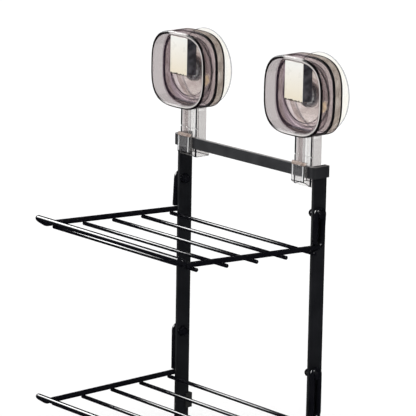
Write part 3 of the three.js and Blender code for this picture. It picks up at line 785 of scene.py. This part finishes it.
def tube(name, points, radius, material, sides):
    """A round wire along points, its ends softly domed."""
    tangents = []
    for i in range(len(points)):
        ahead = points[min(i + 1, len(points) - 1)] - points[i]
        behind = points[i] - points[max(i - 1, 0)]
        tangents.append((ahead.normalized() + behind.normalized()).normalized())
    normal = tangents[0].orthogonal().normalized()
    vertices, faces = [], []
    rings = 0

    def add_ring(centre, tangent, side, r):
        other = tangent.cross(side)
        for k in range(sides):
            angle = 2 * math.pi * k / sides
            vertices.append(centre + side * (r * math.cos(angle)) + other * (r * math.sin(angle)))

    frames = []
    for tangent in tangents:
        normal = (normal - tangent * normal.dot(tangent)).normalized()
        frames.append(normal.copy())
    depth = DOME * radius
    for height, share in DOME_RINGS:
        centre = points[0] + tangents[0] * (depth * (1 - height))
        add_ring(centre, tangents[0], frames[0], radius * share)
        rings += 1
    for i in range(len(points)):
        centre = points[i]
        if i == 0:
            centre = centre + tangents[0] * depth
        if i == len(points) - 1:
            centre = centre - tangents[i] * depth
        add_ring(centre, tangents[i], frames[i], radius)
        rings += 1
    for height, share in reversed(DOME_RINGS):
        centre = points[-1] - tangents[-1] * (depth * (1 - height))
        add_ring(centre, tangents[-1], frames[-1], radius * share)
        rings += 1
    # the domes run outwards from the full section to the tip
    for g, (height, _share) in enumerate(DOME_RINGS):
        shift = tangents[0] * (depth * height - depth * (1 - height))
        for k in range(sides):
            vertices[g * sides + k] = vertices[g * sides + k] + shift
        far = rings - 1 - g
        shift = -tangents[-1] * (depth * height - depth * (1 - height))
        for k in range(sides):
            vertices[far * sides + k] = vertices[far * sides + k] + shift
    for i in range(rings - 1):
        for k in range(sides):
            m = (k + 1) % sides
            after = (i + 1) * sides
            faces.append((i * sides + k, i * sides + m, after + m, after + k))
    faces.append(tuple(reversed(range(sides))))
    faces.append(tuple((rings - 1) * sides + k for k in range(sides)))
    return make_piece(name, vertices, faces, [0] * len(faces), [material])


# ---------------------------------------------------------------- suction cups
WALL, RIM, EDGE, LINE, FLOOR, INNER, WELL, TRIM, RIM_IN, RIM_SIDE = range(10)
KNOB_MATERIALS = [
    SMOKE_WALL, SMOKE_RIM_REFRACTION, SMOKE_EDGE_REFRACTION, SMOKE_REFRACTION_LINE, SMOKE_FLOOR, SMOKE_INNER, SMOKE_WELL, SMOKE_TRIM,
    SMOKE_RIM_INNER_REFRACTION, SMOKE_RIM_SIDE_REFRACTION,
]
KNOB_PROFILE = [
    ("c", 3.4, -11.5, 0.2, WELL, WELL),
    ("c", 11.4, -11.5, 0.5, WELL, LINE),
    ("c", 11.4, -15.4, 0.0, INNER, INNER),
    ("c", 28.4, -15.4, 0.9, EDGE, EDGE),
    ("c", 28.4, -18.4, 0.3, FLOOR, FLOOR),
    ("s", 1.8, -18.4, 0.0, EDGE, EDGE),
    ("s", 0.0, -18.4, 0.9, EDGE, EDGE),
    ("s", 0.0, -19.5, 0.0, WALL, EDGE),
    ("s", 0.0, -33.0, 1.3, RIM, RIM_SIDE),
    ("s", 1.7, -33.0, 0.0, RIM_IN, RIM_IN),
    ("s", 2.7, -33.0, 0.0, TRIM, TRIM),
    ("s", 3.6, -33.0, 0.7, WALL, TRIM),
    ("s", 3.6, -20.0, 1.5, FLOOR, LINE),
    ("c", 24.2, -20.0, 0.7, INNER, LINE),
    ("c", 24.2, -16.9, 0.5, INNER, INNER),
    ("c", 9.9, -16.9, 0.4, WELL, EDGE),
    ("c", 9.9, -12.7, 0.4, WELL, WELL),
    ("c", 3.4, -12.7, 0.2, WELL, WELL),
]
H_WALL, H_EDGE, H_FACE = range(3)
# the housing's back edge carries the same painted refraction line
HOUSING_MATERIALS = [HOUSING_WALL, edge_material("housing_edge"), HOUSING_FACE]
HOUSING_PROFILE = [
    ("c", 4.4, -9.4, 0.2, H_FACE, H_FACE),
    ("c", 13.6, -9.4, 0.3, H_FACE, H_FACE),
    ("c", 13.6, -13.6, 0.3, H_FACE, H_FACE),
    ("c", 26.0, -13.6, 0.5, H_FACE, H_FACE),
    ("c", 26.0, -8.2, 0.5, H_FACE, H_FACE),
    ("s", 0.0, -8.2, 0.9, H_EDGE, H_EDGE),
    ("s", 0.0, -10.6, 0.0, H_WALL, H_EDGE),
    ("s", 0.0, -16.9, 0.0, H_EDGE, H_EDGE),
    ("s", 0.0, -18.1, 0.6, H_EDGE, H_EDGE),
    ("s", 1.8, -18.1, 0.0, H_FACE, H_FACE),
    ("c", 28.8, -18.1, 0.3, H_FACE, H_FACE),
    ("c", 28.8, -15.1, 0.3, H_FACE, H_FACE),
    ("c", 11.8, -15.1, 0.3, H_FACE, H_FACE),
    ("c", 11.8, -11.2, 0.3, H_FACE, H_FACE),
    ("c", 4.4, -11.2, 0.2, H_FACE, H_FACE),
]
PAD_PROFILE = [
    ("c", 0.02, -4.7, 0.0, 0, 0),
    ("c", 6.0, -4.7, 0.4, 0, 0),
    ("c", 6.0, -9.6, 0.4, 0, 0),
    ("c", 32.4, -9.6, 1.0, 0, 0),
    ("c", 34.6, -1.6, 0.6, 1, 1),
    ("c", 34.6, 0.0, 0.5, 0, 1),
    ("c", 22.0, 0.0, 0.5, 0, 0),
    ("c", 11.0, -1.2, 1.0, 0, 0),
    ("c", 0.02, -1.2, 0.0, 0, 0),
]
GRIP_HALF = 11.4
GRIP_FRONT, GRIP_BACK = -31.6, -20.3
GRIP_LOW, GRIP_HIGH = -4.2, 29.8
GRIP_EDGE = 0.8


def make_grip(name, place):
    """The bar across the knob: an ivory face on dark smoked sides that are darkened as painted shade, with
    the top, back and upper and right-hand bevels pale as painted light.
    """
    bm = bmesh.new()
    bmesh.ops.create_cube(bm, size=1)
    for v in bm.verts:
        v.co.x = math.copysign(GRIP_HALF, v.co.x)
        v.co.y = GRIP_FRONT if v.co.y < 0 else GRIP_BACK
        v.co.z = GRIP_LOW if v.co.z < 0 else GRIP_HIGH
    bmesh.ops.bevel(bm, geom=bm.edges[:], offset=GRIP_EDGE * 0.75, segments=3, profile=0.5, affect="EDGES")
    # painted light and shade by face direction: the front is ivory, sides and left or lower bevels dark,
    # the underside darkest, the top, back and upper and right-hand bevels pale
    for f in bm.faces:
        f.smooth = True
        normal = f.normal
        if normal.z < -0.5 or abs(normal.x) > 0.9:
            f.material_index = 2 if normal.z < -0.5 else 1
        elif normal.y > -0.9:
            f.material_index = 1 if normal.x < -0.2 or normal.z < -0.2 else 3
        else:
            f.material_index = 0
    for v in bm.verts:
        v.co *= MM
    mesh = bpy.data.meshes.new(name)
    bm.to_mesh(mesh)
    bm.free()
    for material in (IVORY, GRIP_SIDE_SHADE, GRIP_UNDER_SHADE, GRIP_LIT_BEVEL):
        mesh.materials.append(material)
    piece = bpy.data.objects.new(name, mesh)
    piece.location = [MM * c for c in place]
    bpy.context.scene.collection.objects.link(piece)
    return weighted(piece)


for side, sign in SIDES.items():
    place = (sign * CUP_X, -STANDOFF, 0)
    knob = turned_cup(f"{side}_knob_shell", KNOB_PROFILE, KNOB_MATERIALS, place)
    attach(knob, f"{side}_knob_turning")
    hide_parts(f"{side}_knob")
    grip = make_grip(f"{side}_grip_bar", place)
    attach(grip, f"{side}_knob_turning")
    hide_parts(f"{side}_grip")
    housing = turned_cup(f"{side}_housing_shell", HOUSING_PROFILE, HOUSING_MATERIALS, place)
    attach(housing, "wall_mounts")
    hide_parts(f"{side}_housing")
    pad = turned_cup(
        f"{side}_pad_disc", PAD_PROFILE, [SOFT_CLEAR, SOFT_CLEAR_EDGE], (sign * CUP_X, 0, 0), closed=False
    )
    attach(pad, "wall_mounts")
    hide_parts(f"{side}_suction_pad")
    bracket = make_bracket(f"{side}_hook", f"{side}_hook_bracket", sign * CUP_X)
    for part in ("pull_post", "hub_washer", "hub_nut"):
        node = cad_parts[f"{side}_{part}"]
        for slot in node.material_slots:
            slot.material = STEEL
    upright = from_cad(f"{side}_upright_bar", f"{side}_upright", "frame", [SATIN_BLACK], 0.4)
    bumper = from_cad(f"{side}_bumper_clip", f"{side}_bumper", "frame", [RUBBER], 0.4)

cross_bar = from_cad("cross_bar_strip", "cross_bar", "frame", [SATIN_BLACK_LIT, SATIN_LIT_TOP], 0.35)
# the top face gets the pale painted-light copy, every other face the lifted black
for polygon in cross_bar.data.polygons:
    polygon.material_index = 1 if polygon.normal.z > 0.9 else 0

# ---------------------------------------------------------------- shelves
for tier, size in TIERS.items():
    tilt = Matrix.Rotation(-math.radians(size["tilt"]), 4, "X")
    where = Matrix.Translation(Vector((0, BOLT_Y, size["z"])))
    lay = where @ tilt
    drop = size["drop"]

    def half(sign):
        return [
            (sign * WIRE_X, -LOOP_HALF, -drop + WIRE / 2 + LIMB_LIFT),
            (sign * WIRE_X, -LOOP_HALF, LOOP_HALF),
            (sign * WIRE_X, LOOP_HALF, LOOP_HALF),
            (sign * WIRE_X, LOOP_HALF, -drop),
            (sign * WIRE_X, -SHELF_REACH + RAIL_RUN, -drop),
            (sign * (WIRE_X + RAIL_FLARE), -SHELF_REACH, RAIL_RISE - drop),
        ]

    tight = LOOP_HALF - 0.01
    bends = [0, tight, tight, LOOP_BEND, CORNER, CORNER]
    corners = half(-1) + half(1)[::-1]
    path = [lay @ p for p in bent_path(corners, bends + bends[::-1])]
    wire = tube(f"{tier}_frame_rod", path, WIRE / 2, GLOSS_BLACK, 24)
    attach(wire, f"{tier}_shelf")
    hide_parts(f"{tier}_frame_wire")
    for i in range(CROSS_WIRES):
        y = size["rear_wire"] - i * CROSS_PITCH
        z = -drop - (WIRE + CROSS_WIRE) / 2 - GAP
        ends = [lay @ Vector((-CROSS_HALF, y, z)), lay @ Vector((CROSS_HALF, y, z))]
        rod = tube(f"{tier}_cross_rod_{i + 1}", ends, CROSS_WIRE / 2, GLOSS_BLACK, 20)
        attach(rod, f"{tier}_shelf")
        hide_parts(f"{tier}_cross_wire_{i + 1}")
    for side in SIDES:
        for part in ("bolt", "washer", "dome_nut"):
            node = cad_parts[f"{tier}_{side}_{part}"]
            for slot in node.material_slots:
                slot.material = GLOSS_BLACK


# ---------------------------------------------------------------- floor and light
def make_floor():
    bpy.ops.mesh.primitive_plane_add(size=60, location=(0, 0, cad_low.z - 0.002))
    floor = bpy.context.object
    floor.name = "floor"
    material, nodes, links = new_material("floor")
    shader = nodes.new("ShaderNodeBsdfPrincipled")
    output = nodes.new("ShaderNodeOutputMaterial")
    links.new(shader.outputs[0], output.inputs["Surface"])
    shader.inputs["Base Color"].default_value = (0.96, 0.96, 0.96, 1)
    shader.inputs["Roughness"].default_value = 0.9
    shader.inputs["Specular IOR Level"].default_value = 0.0
    floor.data.materials.append(material)
    floor.visible_glossy = False


def soft_box(name, direction, distance, width, height, power, glossy_only=False):
    data = bpy.data.lights.new(name, "AREA")
    data.energy = power
    data.shape = "RECTANGLE"
    data.size = width
    data.size_y = height
    light = bpy.data.objects.new(name, data)
    towards = Vector(direction).normalized()
    light.location = MIDDLE + towards * distance
    light.rotation_euler = towards.to_track_quat("Z", "Y").to_euler()
    light.visible_camera = False
    light.visible_transmission = False
    if glossy_only:
        light.visible_diffuse = False
    else:
        light.visible_glossy = False
    bpy.context.scene.collection.objects.link(light)


def overhead(name, direction, strength, spread_angle):
    data = bpy.data.lights.new(name, "SUN")
    data.energy = strength
    data.angle = math.radians(spread_angle)
    light = bpy.data.objects.new(name, data)
    light.rotation_euler = Vector(direction).to_track_quat("Z", "Y").to_euler()
    light.visible_glossy = False
    bpy.context.scene.collection.objects.link(light)


def make_world():
    world = bpy.data.worlds.new("world")
    bpy.context.scene.world = world
    world.use_nodes = True
    nodes, links = world.node_tree.nodes, world.node_tree.links
    nodes.clear()
    output = nodes.new("ShaderNodeOutputWorld")
    sky = nodes.new("ShaderNodeBackground")
    sky.inputs["Color"].default_value = (1, 1, 1, 1)
    sky.inputs["Strength"].default_value = 0.72
    world.cycles_visibility.glossy = False
    links.new(sky.outputs[0], output.inputs["Surface"])


make_floor()
make_world()
MIDDLE = Vector((0.0, -0.06, -0.12))
soft_box("wire_glint", (-0.73, -0.38, 0.52), 1.8, 1.3, 0.6, 70, glossy_only=True)
soft_box("nut_glint", (0.78, -0.11, 0.62), 1.8, 0.5, 0.5, 25, glossy_only=True)
soft_box("front_card", (-0.72, -0.60, 0.36), 1.5, 0.9, 0.5, 12, glossy_only=True)
overhead("overhead", (0, 0, 1), 1.0, 60)
overhead("front_fill", (-0.35, -0.85, 0.4), 0.5, 60)

scene = bpy.context.scene
scene.view_settings.view_transform = "Standard"
scene.cycles.transparent_max_bounces = 40
scene.cycles.use_denoising = True
